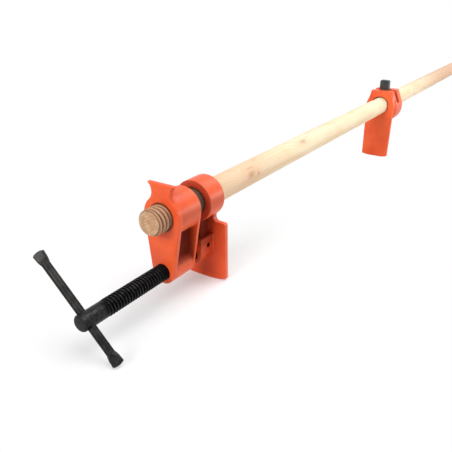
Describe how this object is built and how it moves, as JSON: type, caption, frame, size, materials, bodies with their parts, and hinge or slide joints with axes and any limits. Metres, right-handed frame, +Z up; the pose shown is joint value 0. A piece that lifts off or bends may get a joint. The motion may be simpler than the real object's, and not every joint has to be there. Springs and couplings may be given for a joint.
{
  "type": "pipe clamp on a wooden bar",
  "caption": "Pipe-clamp fixture on a round wooden bar: horned screw head, sliding jaw with captured screw and cross handle, and a tail stop held by leaning clutch plates.",
  "frame": {"origin": "middle of the sliding jaw's foot, on the surface that both jaws stand on", "axes": "+X along the bar from the head to the tail stop, +Y to the left seen from the handle, +Z up"},
  "size_m": [1.307, 0.0871, 0.1291],
  "materials": {
    "wood": "planed pale softwood, unvarnished",
    "enamel": "glossy orange-red enamel on a sand casting",
    "black_steel": "black oxide, satin",
    "pin_steel": "plain steel",
    "spring_steel": "oiled spring steel",
    "plate_steel": "hardened steel, slate grey"
  },
  "bodies": {
    "frame": {"wooden_bar": "wood", "head_casting": "enamel"},
    "jaw": {"sliding_jaw": "enamel", "retaining_pin": "pin_steel"},
    "screw": {"clamp_screw": "black_steel"},
    "handle": {"handle_bar": "black_steel"},
    "spring": {"clutch_spring": "spring_steel"},
    "tail": {"tail_stop": "enamel"},
    "plate_1": {"clutch_plate_1": "plate_steel"},
    "plate_2": {"clutch_plate_2": "plate_steel"},
    "plate_3": {"clutch_plate_3": "plate_steel"}
  },
  "joints": [
    {"name": "screw_turn", "type": "hinge", "parent": "jaw", "child": "screw", "pos_m": [0, 0, 0.033], "axis": [1, 0, 0], "range_deg": [-1078, 7195]},
    {"name": "jaw_slide", "type": "slide", "parent": "frame", "child": "jaw", "axis": [1, 0, 0], "range_m": [-0.0105, 0.07]},
    {"name": "handle_slide", "type": "slide", "parent": "screw", "child": "handle", "axis": [0, 0.7302, 0.6833], "range_m": [-0.048, 0.0255]},
    {"name": "tail_slide", "type": "slide", "parent": "frame", "child": "spring", "axis": [1, 0, 0], "range_m": [-0.45, 0.55]},
    {"name": "tail_turn", "type": "hinge", "parent": "spring", "child": "tail", "pos_m": [0.5252, 0, 0.088], "axis": [1, 0, 0], "continuous": true},
    {"name": "clutch_tilt_1", "type": "hinge", "parent": "tail", "child": "plate_1", "pos_m": [0.54365, 0, 0.0622], "axis": [0, 1, 0], "range_deg": [0, 5], "stiffness_Nm_per_rad": 1, "springref_deg": -5.73, "deforming": ["clutch_spring"]},
    {"name": "clutch_tilt_2", "type": "hinge", "parent": "tail", "child": "plate_2", "pos_m": [0.54635, 0, 0.0622], "axis": [0, 1, 0], "range_deg": [0, 5]},
    {"name": "clutch_tilt_3", "type": "hinge", "parent": "tail", "child": "plate_3", "pos_m": [0.54905, 0, 0.0622], "axis": [0, 1, 0], "range_deg": [0, 5]}
  ],
  "couplings": [
    {"joint": "jaw_slide", "follows": "screw_turn", "m_per_rad": 0.00055704},
    {"joint": "clutch_tilt_2", "follows": "clutch_tilt_1", "ratio": 1},
    {"joint": "clutch_tilt_3", "follows": "clutch_tilt_1", "ratio": 1}
  ]
}
